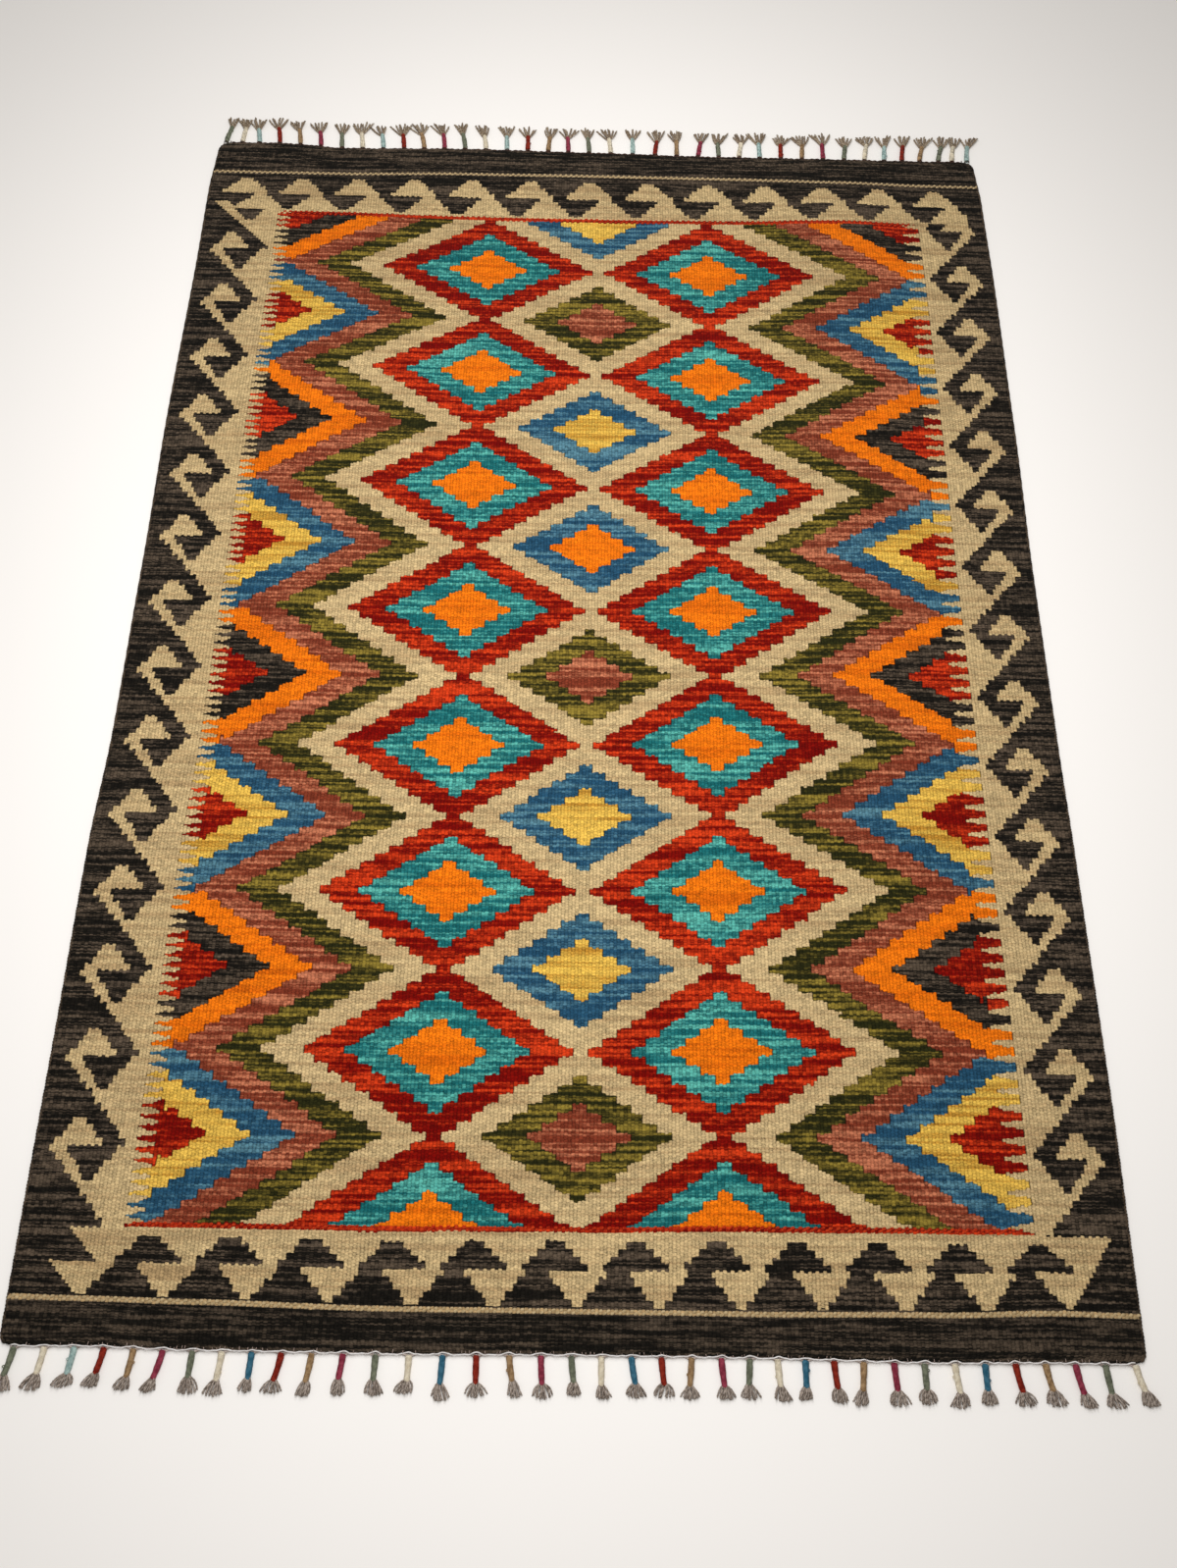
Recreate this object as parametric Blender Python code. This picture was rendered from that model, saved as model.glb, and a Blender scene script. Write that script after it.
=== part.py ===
"""A flat-woven kilim rug, 1.2 by 1.8 m, lying on a floor with its knotted fringe at both ends.

The object is made of three pieces: the woven cloth, and one fringe at each end.  A fringe is a thin
end cord that runs along the cloth's cut warps, with wrapped tassels that end in loose brushes.
Metres, +Z up.  +Y runs along the warps from the front end to the back end.  The origin is the middle
of the cloth's underside.
"""

import math
import random

import bmesh
import bpy
import numpy as np

MM = 0.001

# The cloth.
CLOTH_WIDTH = 1.213
CLOTH_LENGTH = 1.800
CLOTH_THICKNESS = 3.5 * MM
UNEVENNESS = 0.25 * MM
UNEVEN_WAVES = ((9.1, 3.3), (-4.0, 5.7))  # radians across the whole width, and per metre of length
RIM_HEIGHT = 1.6 * MM
RIM_SLOPE = 1.5 * MM
FRONT_CORNER_RADIUS = 12 * MM
BACK_CORNER_RADIUS = 16 * MM
CORNER_ANGLES = (0, 30, 60, 90)
COLUMN_SPACING = 60 * MM
ROW_SPACING = 90 * MM

# The raised twined lines: two cross the whole cloth and two cross only its patterned field.
TWINE_WIDTH = 5 * MM
TWINE_RISE = 0.8 * MM
TWINE_LEVELS = {
    "front_cream": 46 * MM,
    "front_red": 129 * MM,
    "back_red": CLOTH_LENGTH - 145 * MM,
    "back_cream": CLOTH_LENGTH - 53 * MM,
}
FIELD_TWINES = ("front_red", "back_red")
SIDE_BORDER_WIDTH = 118 * MM

# How far the weft rows stray from straight, in mm towards the back, at shares of the width from the left.
ROW_COLUMNS = ("share", "front_edge", "front_cream", "front_red", "back_red", "back_cream", "back_edge")
ROW_TABLE = (
    (0.00, 0.0, 2.5, -4.0, 1.0, -5.0, 8.0),
    (0.07, 1.0, 1.5, -4.0, 1.0, -5.0, 8.5),
    (0.16, -1.0, 0.0, -4.0, 0.5, -4.5, 0.5),
    (0.33, -1.3, -3.5, -3.5, -4.0, 1.0, 4.5),
    (0.50, 0.7, -3.0, -1.0, -4.0, 2.5, 2.0),
    (0.65, 1.2, -2.5, 3.0, -2.0, 2.5, -1.0),
    (0.82, -0.5, 0.0, 4.5, 6.5, 1.0, -0.5),
    (0.93, 1.5, 4.0, 5.5, 1.0, -3.0, -1.0),
    (1.00, 1.5, 2.5, 5.5, 0.0, -3.5, 0.0),
)

# How far the two sides swell outwards, in mm, at shares of the length from the front.
SIDE_COLUMNS = ("share", "left", "right")
SIDE_TABLE = (
    (0.00, -0.5, -2.5),
    (0.16, 0.5, 0.0),
    (0.32, 2.0, -1.0),
    (0.41, -2.5, -2.5),
    (0.55, -1.0, -2.5),
    (0.70, 2.5, 1.0),
    (0.85, 1.0, 2.0),
    (0.95, 2.5, 0.5),
    (1.00, -1.5, -4.5),
)

# The fringes.
GAP = 0.3 * MM
CORD_DEPTH = 3.0 * MM
CORD_HEIGHT = 3.0 * MM
CORD_OVERHANG = 2 * MM
TASSELS_PER_END = 38
TASSEL_WIDTH = 6.5 * MM
TASSEL_HEIGHT = 5.5 * MM
NECK_WIDTH = 5.5 * MM
NECK_HEIGHT = 4.6 * MM
FLARE_HEIGHT = 6.0 * MM
TIP_HEIGHT = 3.5 * MM
LOCK_GAP = 1.0 * MM
LENGTH_JITTER = 2.0 * MM
LEAN_JITTER = 3.0 * MM
WIDTH_JITTER = 4.0 * MM

# Along each fringe: how far the roots drift from even spacing, and where stalk and brush lean, in mm.
FRINGE_COLUMNS = ("share", "drift", "stalk_lean", "brush_lean")
FRONT_FRINGE = {
    "name": "front_fringe",
    "outward": -1,
    "edge_column": "front_edge",
    "first_root": -589 * MM,
    "last_root": 591 * MM,
    "stalk_length": 26 * MM,
    "brush_length": 16 * MM,
    "brush_width": 18 * MM,
    "flare_share": 0.95,
    "tip_share": 0.8,
    "seed": 5,
    "table": (
        (0.00, 0.0, -7.0, -2.0),
        (0.27, -6.5, -3.5, -1.0),
        (0.47, 11.0, 3.0, 1.0),
        (0.60, 10.0, 0.5, 1.0),
        (0.75, 0.0, 0.0, -1.0),
        (0.90, 0.5, 4.0, 1.5),
        (1.00, 0.0, 6.0, 3.0),
    ),
}
BACK_FRINGE = {
    "name": "back_fringe",
    "outward": 1,
    "edge_column": "back_edge",
    "first_root": -595 * MM,
    "last_root": 593 * MM,
    "stalk_length": 28 * MM,
    "brush_length": 24 * MM,
    "brush_width": 23 * MM,
    "flare_share": 0.75,
    "tip_share": 1.0,
    "seed": 11,
    "table": (
        (0.00, 0.0, 5.0, 0.0),
        (0.05, -11.0, -2.0, -2.0),
        (0.27, -3.5, -3.0, -6.0),
        (0.45, 2.5, -1.0, 0.0),
        (0.65, 19.0, 2.0, 0.0),
        (0.85, 28.5, 2.5, -2.0),
        (0.94, 19.0, 5.0, 4.0),
        (1.00, 0.0, 3.0, 5.0),
    ),
}

SHARP_ANGLE = math.radians(30)

# Colour, roughness and metallic value of each piece.
FINISHES = {
    "rug_cloth": ((0.36, 0.22, 0.13, 1.0), 0.95, 0.0),
    "front_fringe": ((0.30, 0.25, 0.21, 1.0), 0.95, 0.0),
    "back_fringe": ((0.30, 0.25, 0.21, 1.0), 0.95, 0.0),
}


def clear_scene():
    for obj in list(bpy.data.objects):
        bpy.data.objects.remove(obj, do_unlink=True)


def lookup(table, columns, column, share):
    """One column of a table at any share, eased between the rows on either side."""
    place = columns.index(column)
    share = min(max(share, table[0][0]), table[-1][0])
    for before, after in zip(table, table[1:]):
        if share <= after[0]:
            part = (share - before[0]) / (after[0] - before[0])
            eased = part * part * (3 - 2 * part)
            return before[place] + (after[place] - before[place]) * eased
    return table[-1][place]


def row_stray(share, level):
    """How far towards the back a weft row lies from straight, where it crosses this share of the width."""
    keys = [(0.0, "front_edge")]
    keys += [(at, name) for name, at in TWINE_LEVELS.items()]
    keys += [(CLOTH_LENGTH, "back_edge")]
    for (low, low_name), (high, high_name) in zip(keys, keys[1:]):
        if level <= high:
            part = (level - low) / (high - low)
            near = lookup(ROW_TABLE, ROW_COLUMNS, low_name, share)
            far = lookup(ROW_TABLE, ROW_COLUMNS, high_name, share)
            return (near + (far - near) * part) * MM
    return lookup(ROW_TABLE, ROW_COLUMNS, "back_edge", share) * MM


def corner_inset(level):
    """How far a rounded corner draws the side in at this distance from the front edge."""
    for distance, radius in ((level, FRONT_CORNER_RADIUS), (CLOTH_LENGTH - level, BACK_CORNER_RADIUS)):
        if distance < radius:
            return radius - math.sqrt(radius**2 - (radius - distance) ** 2)
    return 0.0


def cloth_point(share, level):
    """The place of a warp, given as a share of the width, on the weft row at this level."""
    along = level / CLOTH_LENGTH
    reach = CLOTH_WIDTH / 2 - corner_inset(level)
    left = -reach - lookup(SIDE_TABLE, SIDE_COLUMNS, "left", along) * MM
    right = reach + lookup(SIDE_TABLE, SIDE_COLUMNS, "right", along) * MM
    return left + share * (right - left), level - CLOTH_LENGTH / 2 + row_stray(share, level)


def twine_rise(share, level):
    """The extra height of a raised twined line at its middle."""
    edge = SIDE_BORDER_WIDTH / CLOTH_WIDTH
    for name, at in TWINE_LEVELS.items():
        crosses = name not in FIELD_TWINES or edge < share < 1 - edge
        if crosses and abs(level - at) < TWINE_WIDTH / 4:
            return TWINE_RISE
    return 0.0


def cloth_height(share, level):
    """The height of the cloth's top: low at its rim, raised at the twined lines, slightly uneven between."""
    from_side = min(share, 1 - share) * CLOTH_WIDTH
    from_end = min(level, CLOTH_LENGTH - level)
    if min(from_side, from_end) < RIM_SLOPE / 2:
        return RIM_HEIGHT
    swell = math.prod(math.sin(across * share + along * level) for across, along in UNEVEN_WAVES)
    return CLOTH_THICKNESS + UNEVENNESS * swell + twine_rise(share, level)


def cloth_columns():
    """Shares of the width at which the cloth's grid has a line."""
    rim = RIM_SLOPE / CLOTH_WIDTH
    edge = SIDE_BORDER_WIDTH / CLOTH_WIDTH
    count = round((CLOTH_WIDTH - 2 * SIDE_BORDER_WIDTH) / COLUMN_SPACING)
    field = [edge + (1 - 2 * edge) * i / count for i in range(count + 1)]
    return [0.0, rim, edge / 2] + field + [1 - edge / 2, 1 - rim, 1.0]


def cloth_rows():
    """Levels from the front edge at which the cloth's grid has a line."""
    levels = {RIM_SLOPE, CLOTH_LENGTH - RIM_SLOPE}
    for angle in CORNER_ANGLES:
        turn = 1 - math.cos(math.radians(angle))
        levels.add(FRONT_CORNER_RADIUS * turn)
        levels.add(CLOTH_LENGTH - BACK_CORNER_RADIUS * turn)
    for at in TWINE_LEVELS.values():
        levels |= {at - TWINE_WIDTH / 2, at, at + TWINE_WIDTH / 2}
    first = TWINE_LEVELS["front_red"]
    last = TWINE_LEVELS["back_red"]
    count = round((last - first) / ROW_SPACING)
    levels |= {first + (last - first) * i / count for i in range(1, count)}
    return sorted(levels)


def add_piece(name, bm, collection):
    """Turns a bmesh into a named object with its own material."""
    bmesh.ops.recalc_face_normals(bm, faces=bm.faces)
    mesh = bpy.data.meshes.new(name)
    bm.to_mesh(mesh)
    bm.free()
    mesh.shade_smooth()
    mesh.set_sharp_from_angle(angle=SHARP_ANGLE)
    colour, roughness, metallic = FINISHES[name]
    material = bpy.data.materials.new(name + "_finish")
    material.use_nodes = True
    shader = material.node_tree.nodes["Principled BSDF"]
    shader.inputs["Base Color"].default_value = colour
    shader.inputs["Roughness"].default_value = roughness
    shader.inputs["Metallic"].default_value = metallic
    mesh.materials.append(material)
    obj = bpy.data.objects.new(name, mesh)
    collection.objects.link(obj)
    return obj


def build_cloth(collection):
    """The woven cloth: a grid with its uneven top, extruded down to a flat underside."""
    columns = cloth_columns()
    rows = cloth_rows()
    bm = bmesh.new()
    bmesh.ops.create_grid(bm, x_segments=len(columns) - 1, y_segments=len(rows) - 1, size=1)
    for vert in bm.verts:
        share = columns[round((vert.co.x + 1) / 2 * (len(columns) - 1))]
        level = rows[round((vert.co.y + 1) / 2 * (len(rows) - 1))]
        vert.co = (*cloth_point(share, level), cloth_height(share, level))
    lowered = bmesh.ops.extrude_face_region(bm, geom=list(bm.faces))["geom"]
    for vert in lowered:
        if isinstance(vert, bmesh.types.BMVert):
            vert.co.z = 0
    return add_piece("rug_cloth", bm, collection)


def cloth_end(fringe):
    """The x and y of the points along the cloth's edge that this fringe hangs from."""
    level = CLOTH_LENGTH * (fringe["outward"] + 1) / 2
    return zip(*(cloth_point(share, level) for share in cloth_columns()))


def edge_y(fringe, x):
    """The y of the cloth's end edge at this x."""
    return float(np.interp(x, *cloth_end(fringe)))


def tassel_layout(fringe):
    """Each tassel's root, neck and tip in x, and the lengths of its stalk and brush.

    A brush is narrower where its neighbours leave it no room.
    """
    rng = random.Random(fringe["seed"])
    tassels = []
    for index in range(TASSELS_PER_END):
        share = index / (TASSELS_PER_END - 1)
        drift, stalk_lean, brush_lean = (
            lookup(fringe["table"], FRINGE_COLUMNS, column, share) * MM
            for column in ("drift", "stalk_lean", "brush_lean")
        )
        root = fringe["first_root"] + share * (fringe["last_root"] - fringe["first_root"]) + drift
        neck = root + stalk_lean + rng.uniform(-1, 1) * LEAN_JITTER
        tip = neck + brush_lean + rng.uniform(-1, 1) * LEAN_JITTER
        stalk = fringe["stalk_length"] + rng.uniform(-1, 1) * LENGTH_JITTER
        brush = fringe["brush_length"] + rng.uniform(-1, 1) * LENGTH_JITTER
        width = fringe["brush_width"] + rng.uniform(-1, 1) * WIDTH_JITTER
        places = {"root": root, "neck": neck, "tip": tip}
        tassels.append({**places, "stalk": stalk, "brush": brush, "width": width})
    for left, right in zip(tassels, tassels[1:]):
        room = right["tip"] - left["tip"] - 2 * LOCK_GAP
        for tassel in (left, right):
            tassel["width"] = min(tassel["width"], room)
    return tassels


def section(x, y, width, height):
    """A strand's four corners at this place: it lies level on the floor."""
    left, right = x - width / 2, x + width / 2
    return ((left, y, 0), (right, y, 0), (right, y, height), (left, y, height))


def corners_in_order(face):
    """The corners of a strand's end face, in the order that section gives them."""
    by_height = sorted(face.verts, key=lambda vert: vert.co.z)
    low = sorted(by_height[:2], key=lambda vert: vert.co.x)
    high = sorted(by_height[2:], key=lambda vert: -vert.co.x)
    return low + high


def grow(bm, face, corners):
    """Extrudes the end face of a strand and moves its corners onto the next section."""
    grown = bmesh.ops.extrude_discrete_faces(bm, faces=[face])["faces"][0]
    for vert, corner in zip(corners_in_order(grown), corners):
        vert.co = corner
    return grown


def split_end(bm, face):
    """Divides the end of a stalk into a left and a right half, for its two locks."""
    middle_edges = [edge for edge in face.edges if abs(edge.verts[0].co.z - edge.verts[1].co.z) < MM / 10]
    cut = bmesh.ops.bisect_edges(bm, edges=middle_edges, cuts=1)["geom_split"]
    low, high = sorted((v for v in cut if isinstance(v, bmesh.types.BMVert)), key=lambda v: v.co.z)
    other = bmesh.utils.face_split(face, low, high)[0]
    return sorted((face, other), key=lambda half: half.calc_center_median().x)


def add_tassel(bm, root_face, tassel, fringe):
    """One tassel: a wrapped stalk from the cord, and a brush of two locks at its end."""
    outward = fringe["outward"]
    root, neck, tip = tassel["root"], tassel["neck"], tassel["tip"]
    start_y = edge_y(fringe, root) + outward * (GAP + CORD_DEPTH)
    bend_x = root + (neck - root) * 0.4
    bend_y = start_y + outward * tassel["stalk"] / 2
    neck_y = start_y + outward * tassel["stalk"]
    face = grow(bm, root_face, section(bend_x, bend_y, TASSEL_WIDTH, TASSEL_HEIGHT))
    face = grow(bm, face, section(neck, neck_y, NECK_WIDTH, NECK_HEIGHT))
    half_width = (tassel["width"] - LOCK_GAP) / 2
    for side, half in zip((-1, 1), split_end(bm, face)):
        for along, share, height in (
            (0.5, fringe["flare_share"], FLARE_HEIGHT),
            (1.0, fringe["tip_share"], TIP_HEIGHT),
        ):
            width = half_width * share
            x = neck + (tip - neck) * along + side * (width + LOCK_GAP) / 2
            half = grow(bm, half, section(x, neck_y + outward * tassel["brush"] * along, width, height))


def cord_stations(fringe, tassels):
    """Where the end cord has a section: at both sides of each tassel, and where the cloth's edge bends."""
    roots = [(tassel["root"] - TASSEL_WIDTH / 2, tassel["root"] + TASSEL_WIDTH / 2) for tassel in tassels]
    ends = [roots[0][0] - CORD_OVERHANG, roots[-1][1] + CORD_OVERHANG]
    bends = [x for x in next(cloth_end(fringe)) if ends[0] < x < ends[1]]
    clear = [x for x in bends if all(x < left - GAP or x > right + GAP for left, right in roots)]
    return sorted(ends + clear + [x for root in roots for x in root])


def build_fringe(fringe, collection):
    """The end cord, lofted along the cloth's edge, with a tassel grown from each of its root faces."""
    outward = fringe["outward"]
    tassels = tassel_layout(fringe)
    bm = bmesh.new()
    rings = []
    for x in cord_stations(fringe, tassels):
        inner = edge_y(fringe, x) + outward * GAP
        outer = inner + outward * CORD_DEPTH
        corners = ((inner, 0), (outer, 0), (outer, CORD_HEIGHT), (inner, CORD_HEIGHT))
        rings.append([bm.verts.new((x, y, z)) for y, z in corners])
    outer_faces = []
    for ring, following in zip(rings, rings[1:]):
        for low, high in ((0, 1), (1, 2), (2, 3), (3, 0)):
            face = bm.faces.new((ring[low], ring[high], following[high], following[low]))
            if low == 1:
                outer_faces.append(face)
    bm.faces.new(rings[0])
    bm.faces.new(rings[-1])
    root_faces = [
        min(outer_faces, key=lambda face: abs(face.calc_center_median().x - tassel["root"]))
        for tassel in tassels
    ]
    for root_face, tassel in zip(root_faces, tassels):
        add_tassel(bm, root_face, tassel, fringe)
    return add_piece(fringe["name"], bm, collection)


def main():
    clear_scene()
    collection = bpy.data.collections.new("kilim_rug")
    bpy.context.scene.collection.children.link(collection)
    build_cloth(collection)
    build_fringe(FRONT_FRINGE, collection)
    build_fringe(BACK_FRINGE, collection)


main()
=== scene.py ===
import math
import random

import bpy
import numpy as np
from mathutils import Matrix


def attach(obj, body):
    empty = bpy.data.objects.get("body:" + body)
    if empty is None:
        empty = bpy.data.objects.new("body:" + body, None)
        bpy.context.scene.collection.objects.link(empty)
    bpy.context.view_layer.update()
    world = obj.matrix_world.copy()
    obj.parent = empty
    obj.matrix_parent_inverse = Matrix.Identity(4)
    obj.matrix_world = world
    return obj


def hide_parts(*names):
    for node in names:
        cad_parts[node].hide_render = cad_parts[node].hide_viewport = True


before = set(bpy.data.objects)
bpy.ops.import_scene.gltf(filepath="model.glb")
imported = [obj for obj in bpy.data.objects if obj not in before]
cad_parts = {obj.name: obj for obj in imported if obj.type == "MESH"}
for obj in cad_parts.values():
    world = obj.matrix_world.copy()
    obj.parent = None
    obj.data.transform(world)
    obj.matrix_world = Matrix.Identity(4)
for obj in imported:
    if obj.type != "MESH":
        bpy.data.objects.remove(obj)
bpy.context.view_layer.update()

MM = 0.001

# The cloth's layout, as in the CAD part. Metres, and tables in mm.
CLOTH_WIDTH = 1.213
CLOTH_LENGTH = 1.800
CLOTH_THICKNESS = 3.5 * MM
UNEVENNESS = 0.25 * MM
UNEVEN_WAVES = ((9.1, 3.3), (-4.0, 5.7))
FRONT_CORNER_RADIUS = 12 * MM
BACK_CORNER_RADIUS = 16 * MM
LINE_RISE = 0.8 * MM
LINE_LEVELS = {
    "front_cream": 46 * MM,
    "front_red": 129 * MM,
    "back_red": CLOTH_LENGTH - 145 * MM,
    "back_cream": CLOTH_LENGTH - 53 * MM,
}
SIDE_BORDER_WIDTH = 118 * MM
ROW_COLUMNS = ("share", "front_edge", "front_cream", "front_red", "back_red", "back_cream", "back_edge")
ROW_TABLE = (
    (0.00, 0.0, 2.5, -4.0, 1.0, -5.0, 8.0),
    (0.07, 1.0, 1.5, -4.0, 1.0, -5.0, 8.5),
    (0.16, -1.0, 0.0, -4.0, 0.5, -4.5, 0.5),
    (0.33, -1.3, -3.5, -3.5, -4.0, 1.0, 4.5),
    (0.50, 0.7, -3.0, -1.0, -4.0, 2.5, 2.0),
    (0.65, 1.2, -2.5, 3.0, -2.0, 2.5, -1.0),
    (0.82, -0.5, 0.0, 4.5, 6.5, 1.0, -0.5),
    (0.93, 1.5, 4.0, 5.5, 1.0, -3.0, -1.0),
    (1.00, 1.5, 2.5, 5.5, 0.0, -3.5, 0.0),
)
SIDE_COLUMNS = ("share", "left", "right")
SIDE_TABLE = (
    (0.00, -0.5, -2.5),
    (0.16, 0.5, 0.0),
    (0.32, 2.0, -1.0),
    (0.41, -2.5, -2.5),
    (0.55, -1.0, -2.5),
    (0.70, 2.5, 1.0),
    (0.85, 1.0, 2.0),
    (0.95, 2.5, 0.5),
    (1.00, -1.5, -4.5),
)

# The fringes. Roots, lengths, widths, leans and seeds are as in the CAD part. The rest is how the yarns lie.
GAP = 0.3 * MM
CORD_DEPTH = 3.0 * MM
TASSELS_PER_END = 38
TASSEL_WIDTH = 6.5 * MM
TASSEL_HEIGHT = 5.5 * MM
NECK_WIDTH = 5.5 * MM
NECK_HEIGHT = 4.6 * MM
LOCK_GAP = 1.0 * MM
LENGTH_JITTER = 2.0 * MM
LEAN_JITTER = 3.0 * MM
WIDTH_JITTER = 4.0 * MM
FRINGE_COLUMNS = ("share", "drift", "stalk_lean", "brush_lean")
FRONT_FRINGE = {
    "name": "front",
    "outward": -1,
    "level": 0.0,
    "first_root": -589 * MM,
    "last_root": 591 * MM,
    "stalk_length": 26 * MM,
    "brush_length": 16 * MM,
    "brush_width": 18 * MM,
    "seed": 5,
    "stalk_part": 0.98,
    "brush_part": 0.9,
    "thickness": 1.16,
    "bow": 0.75,
    "stray": 0.14,
    "strands": 16,
    "spacing": 1.5 * MM,
    "ply": 0.66 * MM,
    "widen": 1.0,
    "opening": (0.7, 1.0),
    "rounding": 0.16,
    "raggedness": 0.09,
    "gathers": (2.5, 5.0, 8.0, 11.5, 15.0),
    "table": (
        (0.00, 0.0, -7.0, -2.0),
        (0.27, -6.5, -3.5, -1.0),
        (0.47, 11.0, 3.0, 1.0),
        (0.60, 10.0, 0.5, 1.0),
        (0.75, 0.0, 0.0, -1.0),
        (0.90, 0.5, 4.0, 1.5),
        (1.00, 0.0, 6.0, 3.0),
    ),
}
BACK_FRINGE = {
    "name": "back",
    "outward": 1,
    "level": CLOTH_LENGTH,
    "first_root": -595 * MM,
    "last_root": 593 * MM,
    "stalk_length": 28 * MM,
    "brush_length": 24 * MM,
    "brush_width": 23 * MM,
    "seed": 11,
    "stalk_part": 1.08,
    "brush_part": 1.0,
    "thickness": 1.22,
    "bow": 0.25,
    "stray": 0.24,
    "strands": 9,
    "spacing": 1.8 * MM,
    "ply": 1.0 * MM,
    "widen": 1.22,
    "opening": (0.6, 1.1),
    "rounding": 0.06,
    "raggedness": 0.17,
    "gathers": (1.6, 3.2),
    "table": (
        (0.00, 0.0, 5.0, 0.0),
        (0.05, -11.0, -2.0, -2.0),
        (0.27, -3.5, -3.0, -6.0),
        (0.45, 2.5, -1.0, 0.0),
        (0.65, 19.0, 2.0, 0.0),
        (0.85, 28.5, 2.5, -2.0),
        (0.94, 19.0, 5.0, 4.0),
        (1.00, 0.0, 3.0, 5.0),
    ),
}

# The weave: 290 warps, each a rib, and the beads that the weft makes over them.
RIBS = 290
RIB_DEPTH = 0.45 * MM
UNDERSIDE_DEPTH = 0.6 * MM
PICK = 1.875 * MM
LINE_SPACING = {
    "front_cream": 2.4 * MM,
    "front_red": 2.6 * MM,
    "back_red": 3.8 * MM,
    "back_cream": 2.6 * MM,
}
CLOTH_ROWS = 74
EDGE_TOP = 1.9 * MM
EDGE_BASE = 1.6 * MM
END_DROP = 0.7 * MM

# How far from its middle a bead reaches, in warps and in bead lengths.
BEAD_REACH = (0.6, 0.7)

# The fringes' yarns.
WIND = 1.0 * MM
WRAP_TURN = 1.15 * MM
PLY_TWIST = 5.6 * MM
STALK_START = 1.5 * MM
LOOP_SHARE = 0.35
WARP_END_SHARE = 0.45

# Colours of the wools, numbered as in the ramps: the usual shade, and the one that streaks it.
ORANGE, TEAL, RED, CREAM, GREEN, MAUVE, BLUE, YELLOW, DARK = range(9)
WOOLS = (
    ((241, 120, 14), (211, 97, 8)),
    ((23, 99, 102), (89, 173, 159)),
    ((116, 6, 2), (205, 59, 21)),
    ((203, 176, 128), (175, 146, 104)),
    ((38, 38, 14), (137, 117, 46)),
    ((121, 51, 32), (189, 114, 82)),
    ((34, 74, 100), (84, 126, 141)),
    ((227, 183, 79), (181, 129, 45)),
    ((23, 20, 16), (86, 73, 60)),
)
BRIGHTNESS = 0.925
WORLD_COLOUR = (1.0, 0.985, 0.96, 1)
WORLD_STRENGTH = 0.42
FLOOR_COLOUR = (0.92, 0.885, 0.85, 1)
FLOOR_DROP = 0.2 * MM
FLOOR_REACH = 6

# The photo's camera: where it stands, which way it looks in degrees, and its lens in mm.
CAMERA_PLACE = (-0.0066, -1.0495, 1.6462)
CAMERA_AZIMUTH, CAMERA_DOWN, CAMERA_ROLL = 0.706, 63.448, 1.793
CAMERA_LENS, CAMERA_SENSOR = 33.54, 36


def linear(colour, gain=1.0):
    """A colour of 0 to 255 as the shaders want it."""
    values = [value / 255 for value in colour]
    values = [v / 12.92 if v < 0.04045 else ((v + 0.055) / 1.055) ** 2.4 for v in values]
    return (*(min(gain * v, 0.9) for v in values), 1.0)


# ---------------------------------------------------------------- camera, light and floor


def add_camera():
    """The camera at the photo's place and angle."""
    azimuth, down, roll = (math.radians(angle) for angle in (CAMERA_AZIMUTH, CAMERA_DOWN, CAMERA_ROLL))
    flat = math.cos(down)
    forward = np.array((math.sin(azimuth) * flat, math.cos(azimuth) * flat, -math.sin(down)))
    level = np.cross(forward, (0, 0, 1))
    level /= np.linalg.norm(level)
    upright = np.cross(level, forward)
    right = math.cos(roll) * level + math.sin(roll) * upright
    up = math.cos(roll) * upright - math.sin(roll) * level
    data = bpy.data.cameras.new("camera")
    data.lens = CAMERA_LENS
    data.sensor_width = CAMERA_SENSOR
    camera = bpy.data.objects.new("camera", data)
    matrix = np.eye(4)
    matrix[:3, 0], matrix[:3, 1], matrix[:3, 2] = right, up, -forward
    matrix[:3, 3] = CAMERA_PLACE
    camera.matrix_world = matrix.T.tolist()
    bpy.context.scene.collection.objects.link(camera)
    bpy.context.scene.camera = camera


def add_light(name, place, extent, power):
    """A soft rectangular lamp that faces down and isn't itself in the picture."""
    data = bpy.data.lights.new(name, "AREA")
    data.shape = "RECTANGLE"
    data.size, data.size_y = extent
    data.energy = power
    lamp = bpy.data.objects.new(name, data)
    lamp.location = place
    lamp.visible_camera = False
    bpy.context.scene.collection.objects.link(lamp)


def add_surroundings():
    """The studio's light and its pale floor."""
    scene = bpy.context.scene
    scene.view_settings.view_transform = "Standard"
    world = bpy.data.worlds.new("studio")
    world.use_nodes = True
    background = world.node_tree.nodes["Background"]
    background.inputs["Color"].default_value = WORLD_COLOUR
    background.inputs["Strength"].default_value = WORLD_STRENGTH
    scene.world = world
    add_light("overhead", (-0.07, 0.05, 1.35), (0.6, 1.9), 23.5)
    mesh = bpy.data.meshes.new("floor")
    corners = [(x * FLOOR_REACH, y * FLOOR_REACH, 0) for x, y in ((-1, -1), (1, -1), (1, 1), (-1, 1))]
    mesh.from_pydata(corners, [], [(0, 1, 2, 3)])
    material = bpy.data.materials.new("pale_floor")
    material.use_nodes = True
    shader = material.node_tree.nodes["Principled BSDF"]
    shader.inputs["Base Color"].default_value = FLOOR_COLOUR
    shader.inputs["Roughness"].default_value = 0.7
    mesh.materials.append(material)
    floor_plane = bpy.data.objects.new("floor", mesh)
    floor_plane.location.z = -FLOOR_DROP
    scene.collection.objects.link(floor_plane)


# ---------------------------------------------------------------- layout


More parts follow.
